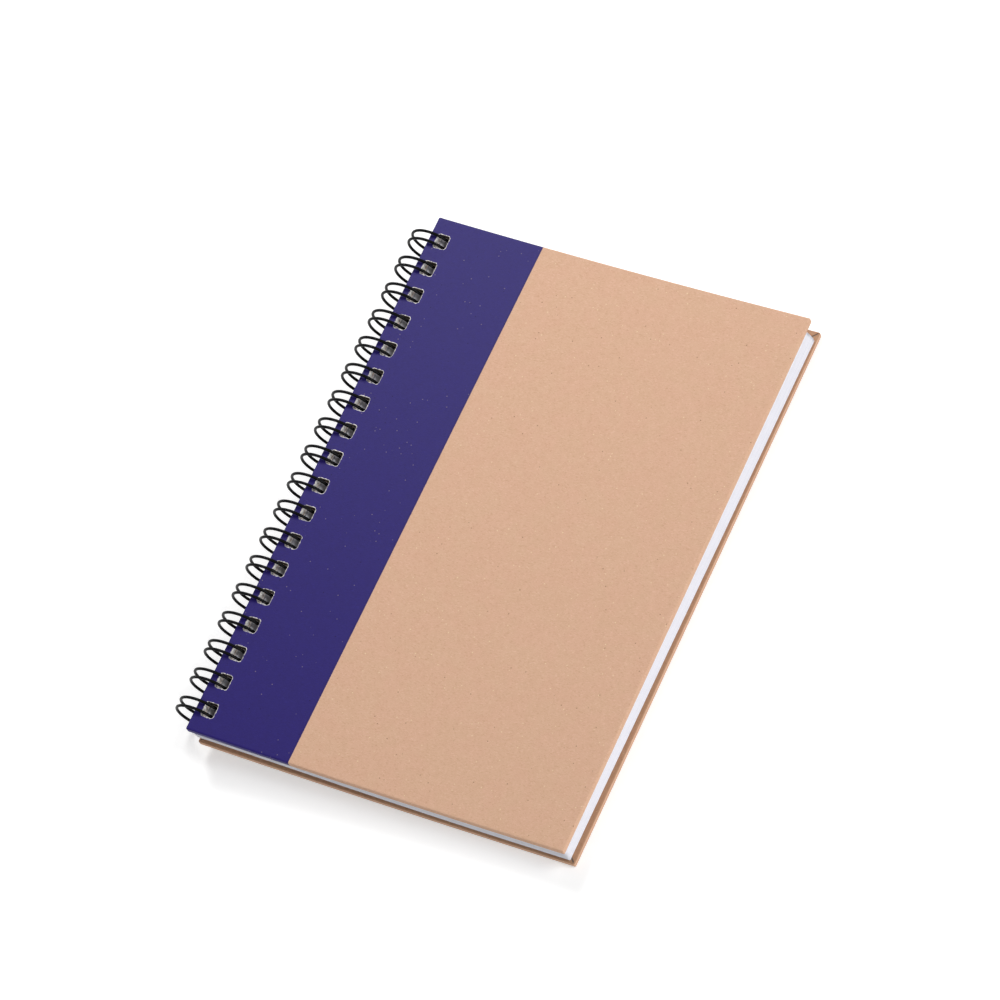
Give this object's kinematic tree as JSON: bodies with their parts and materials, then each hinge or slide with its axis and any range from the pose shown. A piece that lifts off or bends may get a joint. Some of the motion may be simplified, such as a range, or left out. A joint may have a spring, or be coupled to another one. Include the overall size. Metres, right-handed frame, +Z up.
{
  "type": "wire-bound notebook",
  "caption": "Closed pocket notebook with hard kraft covers, a coloured spine band and a white page block on black twin-loop wire.",
  "frame": {"origin": "centre of the bounding box on the surface that the notebook lies on", "axes": "+X from the spine to the fore edge, +Y along the spine to the head, +Z up out of the front cover"},
  "size_m": [0.1186, 0.1574, 0.0138],
  "materials": {
    "grey_board": "matt grey board",
    "kraft_wrap": "uncoated recycled kraft",
    "kraft_lining": "uncoated kraft",
    "page_paper": "uncoated white",
    "black_wire": "gloss black lacquer"
  },
  "bodies": {
    "binding": {"twin_loop_wire": "black_wire", "page_block": "page_paper"},
    "front_cover": {"front_board": "grey_board", "front_wrap": "kraft_wrap", "front_lining": "kraft_lining"},
    "back_cover": {"back_board": "grey_board", "back_wrap": "kraft_wrap", "back_lining": "kraft_lining"}
  },
  "joints": [
    {"name": "front_cover_hinge", "type": "hinge", "parent": "binding", "child": "front_cover", "pos_m": [-0.05235, 0, 0.0069], "axis": [0, -1, 0], "range_deg": [0, 180]},
    {"name": "back_cover_hinge", "type": "hinge", "parent": "binding", "child": "back_cover", "pos_m": [-0.05235, 0, 0.0069], "axis": [0, 1, 0], "range_deg": [0, 180]}
  ]
}
